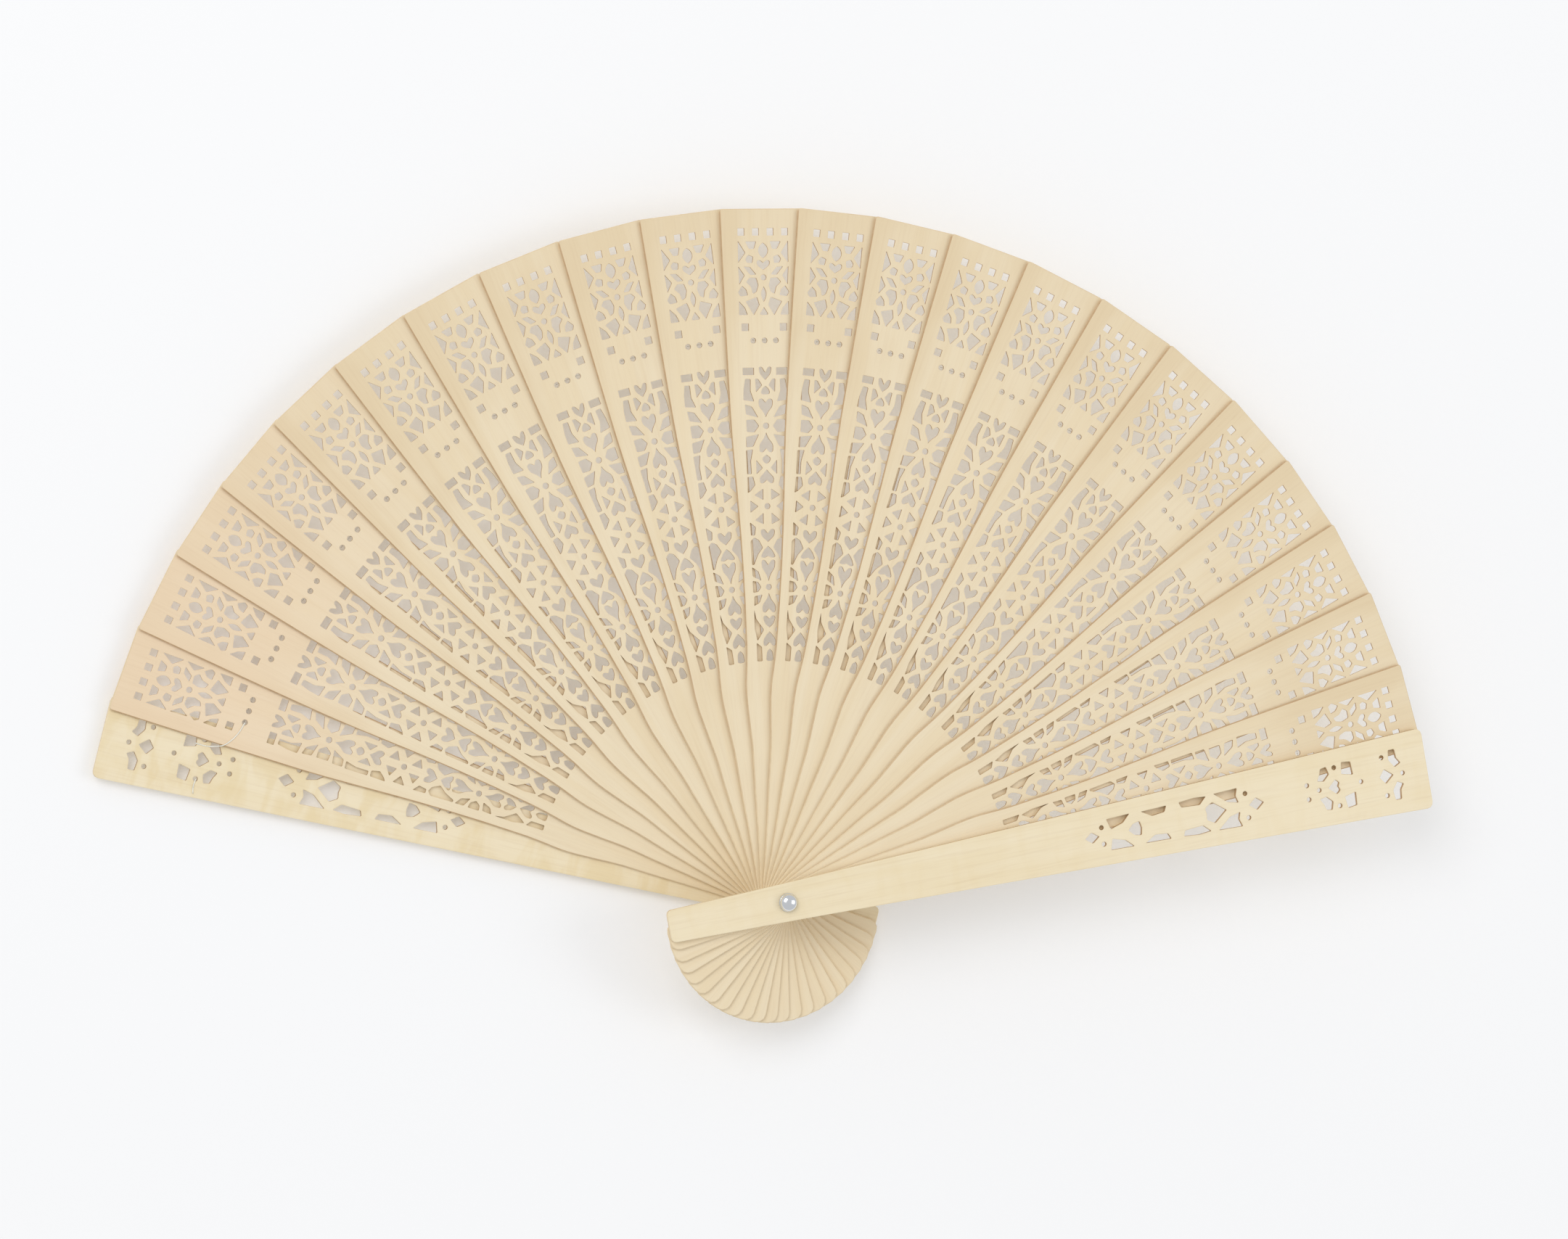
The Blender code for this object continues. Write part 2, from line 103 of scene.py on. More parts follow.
# Openings of a stick, as (across, inset from the tip).  A chain on the centre line is one
# half of a symmetric opening, and a side opening is repeated on the other side.
CENTRE_OPENINGS_MM = (
    ((0, 8.6), (0.8, 9.2), (1.25, 10.4), (0.75, 11.5), (0, 12.1)),
    ((0, 13.4), (0.7, 12.8), (1.5, 12.9), (1.5, 13.9), (0, 15.0)),
    ((0, 19.4), (0.6, 20.7), (0.5, 21.8), (0, 22.9)),
    ((0, 24.5), (1.1, 26.2)),
    ((0, 40.4), (0.7, 39.2), (1.5, 39.2), (1.25, 40.8), (0, 42.2)),
    ((0, 44.0), (0.75, 44.6), (1.1, 45.8)),
    ((0, 48.1), (0.8, 47.0), (1.7, 47.3), (1.6, 48.9), (0.5, 50.2), (0, 51.4)),
    ((0, 55.5), (0.5, 56.9), (1.6, 58.3), (1.6, 60.0), (0.8, 60.2), (0, 59.1)),
    ((0, 61.0), (1.1, 61.8), (0.5, 62.7), (0, 62.9)),
    ((0, 64.7), (0.8, 65.7), (1.75, 66.6), (1.5, 67.8), (0.8, 67.8), (0, 67.0)),
    ((0, 80.3), (0.8, 79.3), (1.7, 79.5), (1.5, 80.9), (0, 82.3)),
    ((0, 83.6), (0.9, 84.5), (1.8, 86.1), (0.9, 86.3), (0, 85.8)),
    ((0, 88.3), (0.8, 87.0), (1.65, 87.1), (1.5, 88.8), (0.5, 90.3), (0, 92.0)),
    ((0, 95.3), (0.5, 96.8), (1.6, 98.2), (1.5, 99.7), (0.8, 99.8), (0, 98.8)),
    ((0, 101.5), (0.8, 100.7), (1.5, 101.1), (1.0, 102.6), (0, 103.5)),
    ((0, 104.8), (0.7, 105.6), (1.5, 106.8), (1.4, 108.0), (0.8, 108.1), (0, 107.2)),
    ((0, 109.1), (0.6, 109.7), (0.9, 111.8)),
)
SIDE_OPENINGS_MM = (
    ((6.4, 8.1), (4.7, 10.9), (6.4, 13.2)),
    ((1.9, 8.2), (4.4, 8.2), (3.5, 9.8), (2.4, 9.8)),
    ((2.7, 12.0), (3.8, 11.6), (4.4, 12.4), (4.1, 13.2), (2.9, 13.3)),
    ((4.9, 14.4), (3.4, 14.6), (2.0, 16.2), (3.4, 16.2)),
    ((6.4, 14.4), (5.0, 16.5), (6.2, 18.6)),
    ((4.3, 18.2), (3.5, 17.2), (1.9, 17.3), (1.5, 18.9), (1.9, 20.4), (2.8, 20.9), (3.1, 19.2)),
    ((5.5, 19.2), (6.4, 20.6), (5.9, 21.5), (4.2, 21.3), (4.6, 20.1)),
    ((4.5, 23.0), (1.8, 22.0), (1.3, 23.8), (2.6, 26.2)),
    ((6.3, 23.0), (6.3, 26.1), (4.3, 26.1), (5.0, 24.6)),
    ((5.1, 42.2), (3.8, 42.3), (4.0, 45.0), (3.0, 47.5), (5.6, 47.1), (5.4, 44.6)),
    ((2.5, 42.2), (1.8, 42.3), (1.0, 43.6), (2.4, 45.2)),
    ((5.2, 48.5), (3.6, 49.1), (2.1, 51.5), (4.9, 50.7)),
    ((4.9, 52.3), (3.0, 52.3), (1.95, 53.7), (3.0, 55.1), (4.8, 55.0)),
    ((5.0, 56.5), (2.0, 55.9), (3.4, 58.6), (5.0, 58.8)),
    ((5.2, 59.9), (3.5, 59.7), (4.1, 62.4), (3.9, 65.4), (5.0, 65.4)),
    ((2.6, 62.3), (1.2, 64.1), (2.6, 65.5)),
    ((4.9, 66.5), (3.6, 66.4), (3.2, 68.3), (4.2, 69.6), (4.9, 70.1)),
    ((1.1, 69.4), (3.1, 70.8), (1.1, 71.9)),
    ((4.3, 72.3), (2.5, 73.6), (4.3, 75.0)),
    ((1.1, 75.4), (3.0, 77.0), (1.1, 77.9)),
    ((4.5, 77.7), (3.2, 78.9), (3.4, 80.6), (4.3, 80.6)),
    ((4.4, 82.4), (3.5, 81.5), (2.4, 82.1), (1.5, 83.9), (2.7, 85.4), (3.6, 87.9), (4.1, 87.9)),
    ((4.1, 88.8), (2.7, 89.9), (2.0, 91.9), (3.9, 90.8)),
    ((4.0, 92.2), (2.8, 92.5), (2.1, 93.6), (2.8, 94.6), (3.9, 94.8)),
    ((3.7, 98.1), (3.6, 96.0), (1.8, 95.6), (2.5, 97.3)),
    ((3.8, 99.4), (3.3, 101.7), (1.6, 104.1), (2.4, 105.6), (3.1, 106.7), (3.6, 103.8)),
    ((3.3, 107.6), (2.1, 108.6), (2.0, 111.8), (3.2, 111.8)),
)
# Square-cornered openings: across of the centre, inset of the centre, width, length.
SIDE_SQUARES_MM = (
    (1.87, 5.75, 1.75, 1.85),
    (5.6, 5.75, 1.75, 1.85),
    (4.9, 29.3, 1.85, 1.85),
    (4.3, 40.2, 2.9, 1.8),
)
# Round openings on the centre line (inset, radius), and on both sides (across, inset, radius).
CENTRE_ROUNDS_MM = ((17.0, 0.75), (THREAD_INSET_MM, 0.72), (53.7, 0.78), (73.6, 0.74), (93.6, 0.74))
SIDE_ROUNDS_MM = ((THREAD_HOLE_MM, THREAD_INSET_MM, 0.72),)

GUARD_CENTRE_OPENINGS_MM = (
    ((0, 12.9), (1.8, 11.5), (0, 9.3)),
    ((0, 26.9), (1.8, 24.9), (0.9, 23.9), (0, 24.4)),
    ((0, 48.5), (1.5, 46.6), (0, 44.7)),
    ((0, 59.9), (1.4, 60.2), (2.6, 58.2), (0, 54.8)),
    ((0, 81.0), (1.3, 79.7), (1.7, 77.9), (0, 77.6)),
    ((0, 92.6), (1.3, 90.8), (0, 89.0)),
)
GUARD_SIDE_OPENINGS_MM = (
    ((3.9, 9.8), (6.3, 9.6), (6.3, 8.0), (4.1, 7.9), (2.8, 6.9), (2.0, 8.5)),
    ((3.0, 22.9), (5.8, 22.5), (5.5, 20.2), (2.3, 20.0)),
    ((2.4, 29.6), (3.8, 28.7), (5.1, 28.4), (5.4, 26.9), (3.5, 26.4), (2.1, 27.9)),
    ((4.6, 57.4), (4.8, 51.2), (3.0, 51.9), (1.3, 51.3), (2.0, 54.0)),
    ((3.0, 66.3), (4.3, 66.8), (4.6, 62.8), (4.4, 59.7), (2.7, 61.6)),
    ((2.5, 74.3), (4.0, 77.0), (4.0, 73.8), (4.2, 70.4), (2.8, 71.1)),
    ((1.3, 85.5), (3.9, 86.3), (4.1, 80.3), (2.3, 82.3)),
)
GUARD_CENTRE_ROUNDS_MM = ((6.7, 0.6), (18.1, 0.6), (29.5, 0.6))
GUARD_SIDE_ROUNDS_MM = (
    (4.9, 11.7, 0.62),
    (4.9, 24.7, 0.62),
    (GUARD_THREAD_HOLE_MM, THREAD_INSET_MM, 0.62),
    (3.1, 49.2, 0.62),
    (2.1, 88.0, 0.62),
)
BORE_RADIUS_MM = 1.7
SQUARE_ROUNDING_MM = 0.12

# The share of a side that one rounded corner may take.
CORNER_SHARE = 0.46
# Corners nearer than this to an opening's middle are moved out by less.
WIDENING_REACH_MM = 0.5

# How far an eased edge sinks, as a share of its width.
RIM_SLOPE = 0.6
OUTLINE_SLOPE = 1.05

# A face whose normal rises less than WALL_RISE is a wall; edges sharper than a crease stay sharp.
WALL_RISE = 0.75
BLADE_CREASE = radians(28)
METAL_CREASE = radians(40)

# Points nearer than this are merged.
MERGE = 1e-7

# Only the end of a blade lies further than this from the rivet.
BLADE_END = 0.165

# A stick's wood has the number PLANK_STEP times the stick's own.  Below PEACH_PLANK the tips are
# peach, fully so PEACH_FADE below it.
PLANK_STEP = 3.7
PEACH_PLANK = 24.0
PEACH_FADE = 20.0

# The walls are free of scorch and painted shade from here outwards; it fades in over the next stretch
# inwards.
SCORCH_AND_SHADE_END_CM = 17.12
SCORCH_AND_SHADE_FADE_CM = 0.14

# The taper of a CAD stick, from its waist to its tip.
WAIST_MM = 64.0
WAIST_HALF_WIDTH_MM = 6.0
TIP_HALF_WIDTH_MM = 11.0

THREAD_RADIUS = (TIP_MM - THREAD_INSET_MM) * MM
THREAD_HOLE_ACROSS = THREAD_HOLE_MM * MM
GUARD_THREAD_HOLE_ACROSS = GUARD_THREAD_HOLE_MM * MM
THREAD_GAP = 0.35 * MM
# Height of the thread's middle over the wood that it lies on, as a share of its diameter.
THREAD_LIFT = 0.45

# The thread's arc on the back guard: insets where it passes the stick's edge and where it ends,
# and how far past the edge it ends.
ARC_EDGE_INSET_MM = 29.0
ARC_END_INSET_MM = 22.5
ARC_PAST_MM = 1.7

# The loose end: its distance beyond the thread's holes, its bow and its points across the guard.
LOOSE_OFFSET_MM = 7.9
LOOSE_BOW_MM = 0.25
LOOSE_ACROSS_MM = (-4.9, -6.7, -8.5)

# Section of the two plies: sides, mean radius and swing as shares of the thread's radius.
PLY_SIDES = 8
PLY_MEAN = 0.86
PLY_SWING = 0.14

FAN_MIDDLE = (0.0, 0.07, 0.0)
FLOOR_REACH = 6.0
FLOOR_DROP = 0.0004
# The turn from the fan's axes to the camera's, and the rivet's place in the camera's axes.
CAMERA_TURN_DEGREES = (1.16, 15.46, -1.44)
CAMERA_SHIFT = (-0.0061, -0.0689, -1.4537)


class Piercing(NamedTuple):
    """The openings of one kind of blade, and how far their corners are rounded and moved out, in mm."""

    centre_openings: tuple
    side_openings: tuple
    side_squares: tuple
    side_rounds: tuple
    centre_rounds: tuple
    centre_rounding: float
    point_rounding: float
    centre_growth: float
    side_rounding: float
    side_growth: float


STICK_PIERCING = Piercing(
    CENTRE_OPENINGS_MM, SIDE_OPENINGS_MM, SIDE_SQUARES_MM, SIDE_ROUNDS_MM, CENTRE_ROUNDS_MM,
    centre_rounding=0.6, point_rounding=0.1, centre_growth=0.17, side_rounding=0.26, side_growth=0.20,
)
GUARD_PIERCING = Piercing(
    GUARD_CENTRE_OPENINGS_MM, GUARD_SIDE_OPENINGS_MM, (), GUARD_SIDE_ROUNDS_MM, GUARD_CENTRE_ROUNDS_MM,
    centre_rounding=0.35, point_rounding=0.2, centre_growth=0.12, side_rounding=0.28, side_growth=0.15,
)


def colour_property(name, description, red, green, blue):
    """A colour that the panel shows."""
    return FloatVectorProperty(
        name=name, description=description, subtype="COLOR", size=3, min=0.0, max=1.0,
        default=(red, green, blue),
    )


def length_property(name, description, default, least=0.0):
    """A length that the panel shows."""
    return FloatProperty(name=name, description=description, default=default, min=least, unit="LENGTH")


class FanWoodSettings(bpy.types.PropertyGroup):
    """Colours and surface of the blades."""

    pale: colour_property("Pale wood", "Lightest tone of the sticks", 0.89, 0.76, 0.54)
    honey: colour_property("Honey wood", "Deeper tone in the streaks of the sticks", 0.87, 0.725, 0.49)
    # Blush is also painted shade: it darkens the sticks' left edges and tips.
    blush_and_shade: colour_property("Blush", "Warm tone towards the edges and tips", 0.81, 0.655, 0.425)
    peach: colour_property("Peach", "Tone of the tips of the leftmost sticks", 0.91, 0.69, 0.49)
    # The cut tone also gives the painted shade of the dark lines along the stick edges.
    cut: colour_property("Cut edge", "Tone of the walls that the blade's cutting left", 0.52, 0.325, 0.165)
    guard_pale: colour_property("Pale guard wood", "Lightest tone of the guards", 0.92, 0.80, 0.57)
    guard_figure: colour_property("Guard figure", "Deeper tone in the guards' figure", 0.86, 0.71, 0.44)
    roughness: FloatProperty(
        name="Roughness", description="How dull the sanded wood is", default=0.52, min=0.0, max=1.0
    )
    grain: length_property("Grain depth", "Depth of the grain", 0.00004)


class FanCuttingSettings(bpy.types.PropertyGroup):
    """How the edges of the blades are finished."""

    outline_ease: length_property("Outline edge", "Width of the rounded outer edge of a stick", 0.00024)
    stick_ease: length_property("Stick edge", "Width of the eased edge of a stick's openings", 0.00007)
    guard_ease: length_property("Guard edge", "Width of the eased edges of a guard", 0.00016)


class FanThreadSettings(bpy.types.PropertyGroup):
    """The thread that joins the sticks."""

    diameter: length_property("Diameter", "Diameter of the thread between the sticks", 0.00028, 0.0001)
    end_diameter: length_property(
        "End diameter", "Diameter of the thread where nothing presses on it", 0.00034, 0.0001
    )
    twist: length_property("Twist length", "Length of one turn of the thread's plies", 0.0009, 0.0001)
    colour: colour_property("Colour", "Colour of the thread", 0.98, 0.95, 0.85)


class FanRivetSettings(bpy.types.PropertyGroup):
    """The rivet and its washers."""

    steel: colour_property("Steel", "Colour of the polished metal", 0.80, 0.82, 0.85)
    roughness: FloatProperty(
        name="Roughness", description="How dull the metal is", default=0.14, min=0.0, max=1.0
    )


class FanStageSettings(bpy.types.PropertyGroup):
    """Floor, lights and camera."""

    floor: colour_property("Floor", "Colour of the floor", 0.815, 0.83, 0.855)
    sky: FloatProperty(
        name="Surrounding light", description="Brightness of the surrounding light", default=0.65, min=0.0
    )
    # The floor's glow is painted light: it lifts the shadow that the fan casts on the floor, and its warm
    # tint stands in for light bounced off the wood.
    glow: FloatProperty(
        name="Floor glow", description="Light that the lit floor gives off, as a light table does",
        default=0.18, min=0.0,
    )
    key: FloatProperty(
        name="Left light", description="Power of the large light at the upper left", default=16.0,
        unit="POWER",
    )
    fill: FloatProperty(
        name="Right light", description="Power of the large light at the right", default=6.0, unit="POWER"
    )
    lens: FloatProperty(
        name="Focal length", description="Focal length of the camera, in millimetres", default=133.27,
        unit="CAMERA",
    )


class Value:
    """A number in a material; arithmetic on it adds Math nodes."""

    def __init__(self, shader, socket):
        self.shader = shader
        self.socket = socket

    def math(self, operation, *others):
        terms = dict(enumerate(others))
        made = self.shader.node("ShaderNodeMath", {"operation": operation}, terms)
        return Value(self.shader, made.outputs[0])

    def __add__(self, other):
        return self.math("ADD", self, other)

    def __sub__(self, other):
        return self.math("SUBTRACT", self, other)

    def __rsub__(self, other):
        return self.math("SUBTRACT", other, self)

    def __mul__(self, other):
        return self.math("MULTIPLY", self, other)


class Shader:
    """A Principled material and the nodes that feed it."""

    def __init__(self, name):
        self.material = bpy.data.materials.new(name)
        self.material.use_nodes = True
        self.surface = self.material.node_tree.nodes["Principled BSDF"]

    def node(self, kind, settings, inputs):
        """One node: its settings first, then the values or links of its sockets."""
        made = self.material.node_tree.nodes.new(kind)
        for key, setting in settings.items():
            setattr(made, key, setting)
        self.feed(made, inputs)
        return made

    def feed(self, node, inputs):
        """Values or links for a node's sockets."""
        for key, given in inputs.items():
            source = given.socket if isinstance(given, Value) else given
            if isinstance(source, bpy.types.NodeSocket):
                self.material.node_tree.links.new(source, node.inputs[key])
            else:
                node.inputs[key].default_value = source

    def noise(self, vector, plank, scale, detail, roughness=0.55, distortion=0.0):
        """Soft noise between 0 and 1 that differs from plank to plank."""
        made = self.node(
            "ShaderNodeTexNoise",
            {"noise_dimensions": "4D"},
            {"Vector": vector, "W": plank, "Scale": scale, "Detail": detail, "Roughness": roughness,
             "Distortion": distortion},
        )
        return Value(self, made.outputs["Fac"])

    def stretch(self, vector, across, along):
        """A vector scaled across and along the blade."""
        made = self.node("ShaderNodeMapping", {}, {"Vector": vector, "Scale": (across, along, 1.0)})
        return made.outputs["Vector"]

    def steps(self, value, low, high):
        """0 below low, 1 above high, smooth between them."""
        made = self.node(
            "ShaderNodeMapRange",
            {"interpolation_type": "SMOOTHSTEP"},
            {"Value": value, "From Min": low, "From Max": high},
        )
        return Value(self, made.outputs["Result"])

    def mix(self, factor, first, second):
        """A colour between two colours."""
        made = self.node(
            "ShaderNodeMix", {"data_type": "RGBA"}, {"Factor": factor, 6: first, 7: second}
        )
        return made.outputs[2]

    def bump(self, height, strength, depth):
        """A normal that is shaken by a height."""
        made = self.node("ShaderNodeBump", {}, {"Height": height, "Strength": strength, "Distance": depth})
        return made.outputs["Normal"]


def opaque(colour):
    """A colour with its alpha."""
    return (*colour, 1.0)


def blade_coordinates(shader):
    """Place on the blade in centimetres (the vector, across and along) and the plank's number."""
    place = shader.node("ShaderNodeUVMap", {"uv_map": "blade"}, {}).outputs["UV"]
    parts = shader.node("ShaderNodeSeparateXYZ", {}, {"Vector": place})
    plank = shader.node("ShaderNodeAttribute", {"attribute_name": "plank"}, {}).outputs["Fac"]
    across, along = (Value(shader, parts.outputs[axis]) for axis in "XY")
    return place, across, along, Value(shader, plank)


def stick_wood():
    """Pale close-grained wood: fibres along the stick, soft streaks, and tips and left edges darkened to a
    warmer tone as painted shade.
    """
    wood = bpy.context.scene.fan_wood
    shader = Shader("stick_wood")
    place, across, along, plank = blade_coordinates(shader)
    fibres = shader.noise(shader.stretch(place, 16.0, 0.55), plank, 1.0, 5.0, 0.62, 0.15)
    flecks = shader.noise(shader.stretch(place, 34.0, 3.2), plank, 1.0, 2.0)
    streaks = shader.noise(shader.stretch(place, 2.3, 0.16), plank, 1.0, 3.0, 0.5, 0.4)
    clouds = shader.noise(shader.stretch(place, 0.7, 0.45), plank, 1.0, 2.0)
    tone = shader.mix(shader.steps(streaks, 0.36, 0.66), opaque(wood.pale), opaque(wood.honey))
    # Painted shade: the tone darkens towards blush near the left edge and towards the tip; the clouds
    # below add real random warmth.
    rim = shader.steps(0.0 - across, 0.42, 1.25) * 0.75
    tip = shader.steps(along, 11.0, 17.2) * 0.55
    warmth = shader.steps(clouds, 0.40, 0.70) * 0.45
    tone = shader.mix(shader.steps(rim + tip + warmth, 0.0, 1.35), tone, opaque(wood.blush_and_shade))
    left = shader.steps(PEACH_PLANK - plank, 0.0, PEACH_FADE) * shader.steps(along, 9.0, 15.0)
    tone = shader.mix(left * 0.5, tone, opaque(wood.peach))
    dark = shader.steps(fibres, 0.44, 0.70) * 0.08 + shader.steps(flecks, 0.62, 0.72) * 0.06
    tone = shader.mix(dark, tone, opaque(wood.cut))
    shader.feed(
        shader.surface,
        {"Base Color": tone, "Roughness": fibres * 0.16 + (wood.roughness - 0.08),
         "Normal": shader.bump(fibres * 0.7 + flecks * 0.3, 0.35, wood.grain)},
    )
    return shader.material


def cut_wood():
    """The walls of the openings and edges, duller than the sanded faces and brown with real scorch and
    painted shade.

    The brown, real scorch together with painted shade for the dark lines between the sticks, grows from
    the rivet outwards and stops short of the blade's outermost edge.
    """
    wood = bpy.context.scene.fan_wood
    shader = Shader("cut_wood")
    place, _, along, plank = blade_coordinates(shader)
    marks = shader.noise(shader.stretch(place, 6.0, 6.0), plank, 1.0, 3.0)
    # Real scorch and painted shade: brown on walls and outer rims stands in for the dark contact lines
    # between the sticks.
    scorch_and_shade = shader.steps(along, 1.0, 8.0) * shader.steps(SCORCH_AND_SHADE_END_CM - along, 0.0, SCORCH_AND_SHADE_FADE_CM)
    share = scorch_and_shade * 0.68 + 0.2 - shader.steps(marks, 0.3, 0.75) * 0.2
    tone = shader.mix(share, opaque(wood.honey), opaque(wood.cut))
    shader.feed(shader.surface, {"Base Color": tone, "Roughness": marks * 0.2 + 0.6})
    return shader.material


def guard_wood(name, figure):
    """Guard wood with a wavy figure across the grain; figure is how strong it shows."""
    wood = bpy.context.scene.fan_wood
    shader = Shader(name)
    place, _, _, plank = blade_coordinates(shader)
    fibres = shader.noise(shader.stretch(place, 14.0, 0.5), plank, 1.0, 5.0, 0.6, 0.2)
    waves = shader.noise(shader.stretch(place, 0.55, 1.5), plank, 1.0, 3.0, 0.5, 1.3)
    streaks = shader.noise(shader.stretch(place, 1.9, 0.12), plank, 1.0, 3.0, 0.5, 0.6)
    share = shader.steps(waves, 0.40, 0.66) * figure + shader.steps(streaks, 0.38, 0.7) * 0.45
    tone = shader.mix(share, opaque(wood.guard_pale), opaque(wood.guard_figure))
    tone = shader.mix(shader.steps(fibres, 0.46, 0.72) * 0.12, tone, opaque(wood.cut))
    shader.feed(
        shader.surface,
        {"Base Color": tone, "Roughness": fibres * 0.14 + (wood.roughness - 0.10),
         "Normal": shader.bump(fibres, 0.35, wood.grain)},
    )
    return shader.material


def thread_cotton():
    """Twisted pale cotton with a little fuzz."""
    shader = Shader("thread_cotton")
    place = shader.node("ShaderNodeTexCoord", {}, {}).outputs["Object"]
    fuzz = shader.noise(place, 0.0, 9000.0, 3.0, 0.7)
    colour = bpy.context.scene.fan_thread.colour
    darker = opaque([0.92 * part for part in colour])
    lighter = opaque([min(1, 1.06 * part) for part in colour])
    shader.feed(
        shader.surface,
        {"Base Color": shader.mix(fuzz, darker, lighter), "Roughness": 0.8, "Sheen Weight": 1.0,
         "Sheen Roughness": 0.3, "Normal": shader.bump(fuzz, 0.5, 0.02 * MM)},
    )
    return shader.material


def polished_steel():
    """Plated steel with faint polishing marks."""
    rivet = bpy.context.scene.fan_rivet
    shader = Shader("polished_steel")
    place = shader.node("ShaderNodeTexCoord", {}, {}).outputs["Object"]
    marks = shader.noise(place, 0.0, 2500.0, 4.0, 0.6)
    shader.feed(
        shader.surface,
        {"Base Color": opaque(rivet.steel), "Metallic": 1.0,
         "Roughness": marks * 0.12 + (rivet.roughness - 0.05)},
    )
    return shader.material


def mirrored(half):
    """A whole outline from its right half; points on the centre line stay single."""
    return list(half) + [(-across, *rest) for across, *rest in reversed(half) if across > 0]


def ease_rim(mesh, face, width, rise):
    """Turns a ring's face into a sloping rim: its outline sinks, a copy moved in by width stays up.

    A negative width moves the copy out, as the rim of an opening needs.
    """
    face.normal_update()
    rim = bmesh.ops.inset_region(
        mesh, faces=[face], use_boundary=True, use_even_offset=True, thickness=width
    )
    ring = {vert for side in rim["faces"] for vert in side.verts}
    for vert in ring.difference(face.verts):
        vert.co.z = -rise
    bmesh.ops.delete(mesh, geom=[face], context="FACES_ONLY")


def add_ring(mesh, corners, width, slope=RIM_SLOPE):
    """One closed eased ring; corners are (across, along, rounding) in millimetres."""
    points = [Vector((across * MM, along * MM, 0.0)) for across, along, _ in corners]
    verts = [mesh.verts.new(point) for point in points]
    older = set(mesh.faces)
    mesh.faces.new(verts)
    count = len(points)
    for index, vert in enumerate(verts):
        before = (points[index] - points[index - 1]).length
        after = (points[(index + 1) % count] - points[index]).length
        reach = min(corners[index][2] * MM, CORNER_SHARE * min(before, after))
        if reach > 0:
            bmesh.ops.bevel(
                mesh, geom=[vert], offset=reach, offset_type="OFFSET", segments=3, profile=0.5,
                affect="VERTICES", clamp_overlap=False, material=-1,
            )
    [ring] = [face for face in mesh.faces if face not in older]
    ease_rim(mesh, ring, width, abs(width) * slope)


def widened(corners, growth):
    """Corners moved out from their middle, so that an opening grows by about growth on each side."""
    middle = Vector((sum(c[0] for c in corners), sum(c[1] for c in corners))) / len(corners)
    moved = []
    for across, along, rounding in corners:
        away = Vector((across, along)) - middle
        place = middle + away * (1 + growth / max(away.length, WIDENING_REACH_MM))
        moved.append((place.x, place.y, rounding))
    return moved


def opening_corners(chain, rounding, crisp):
    """Corners of an opening given as (across, inset); those on the centre line stay crisper."""
    return [(across, TIP_MM - inset, crisp if across == 0 else rounding) for across, inset in chain]


def add_round(mesh, across, inset, radius, width):
    """A round opening."""
    centre = Matrix.Translation((across * MM, (TIP_MM - inset) * MM, 0.0))
    made = bmesh.ops.create_circle(mesh, cap_ends=True, segments=16, radius=radius * MM, matrix=centre)
    ease_rim(mesh, made["verts"][0].link_faces[0], width, abs(width) * RIM_SLOPE)


def add_square(mesh, across, inset, width, length, rim):
    """A square-cornered opening."""
    sides = [(-0.5, -0.5), (0.5, -0.5), (0.5, 0.5), (-0.5, 0.5)]
    along = TIP_MM - inset
    corners = [(across + width * u, along + length * v, SQUARE_ROUNDING_MM) for u, v in sides]
    add_ring(mesh, corners, rim)


def fill_and_thicken(mesh, thickness):
    """Fills between the raised rings, copies the face to the back and joins the two by walls."""
    borders = [edge for edge in mesh.edges if edge.is_boundary]
    raised = [edge for edge in borders if edge.verts[0].co.z == edge.verts[1].co.z == 0]
    bmesh.ops.triangle_fill(mesh, use_beauty=True, use_dissolve=False, edges=raised, normal=(0, 0, 1))
    sunk = [edge for edge in mesh.edges if edge.is_boundary]
    front = mesh.verts[:] + mesh.edges[:] + mesh.faces[:]
    back = bmesh.ops.duplicate(mesh, geom=front)["geom"]
    turned = [item for item in back if isinstance(item, bmesh.types.BMVert)]
    bmesh.ops.scale(mesh, verts=turned, vec=(1, 1, -1))
    bmesh.ops.translate(mesh, verts=turned, vec=(0, 0, -thickness))
    walls = bmesh.ops.extrude_edge_only(mesh, edges=sunk)["geom"]
    lowered = [item for item in walls if isinstance(item, bmesh.types.BMVert)]
    for vert in lowered:
        vert.co.z = -thickness - vert.co.z
    bmesh.ops.remove_doubles(mesh, verts=lowered + turned, dist=MERGE)
    bmesh.ops.translate(mesh, verts=mesh.verts[:], vec=(0, 0, thickness / 2))
    bmesh.ops.recalc_face_normals(mesh, faces=mesh.faces[:])


def finish_blade(mesh, name):
    """A mesh with the blade's own coordinates, in centimetres, and its walls marked as cut."""
    layer = mesh.loops.layers.uv.new("blade")
    for face in mesh.faces:
        face.material_index = 1 if abs(face.normal.z) < WALL_RISE else 0
        face.smooth = True
        for loop in face.loops:
            loop[layer].uv = (loop.vert.co.x * 100, loop.vert.co.y * 100)
    data = bpy.data.meshes.new(name)
    mesh.to_mesh(data)
    mesh.free()
    data.set_sharp_from_angle(angle=BLADE_CREASE)
    return data


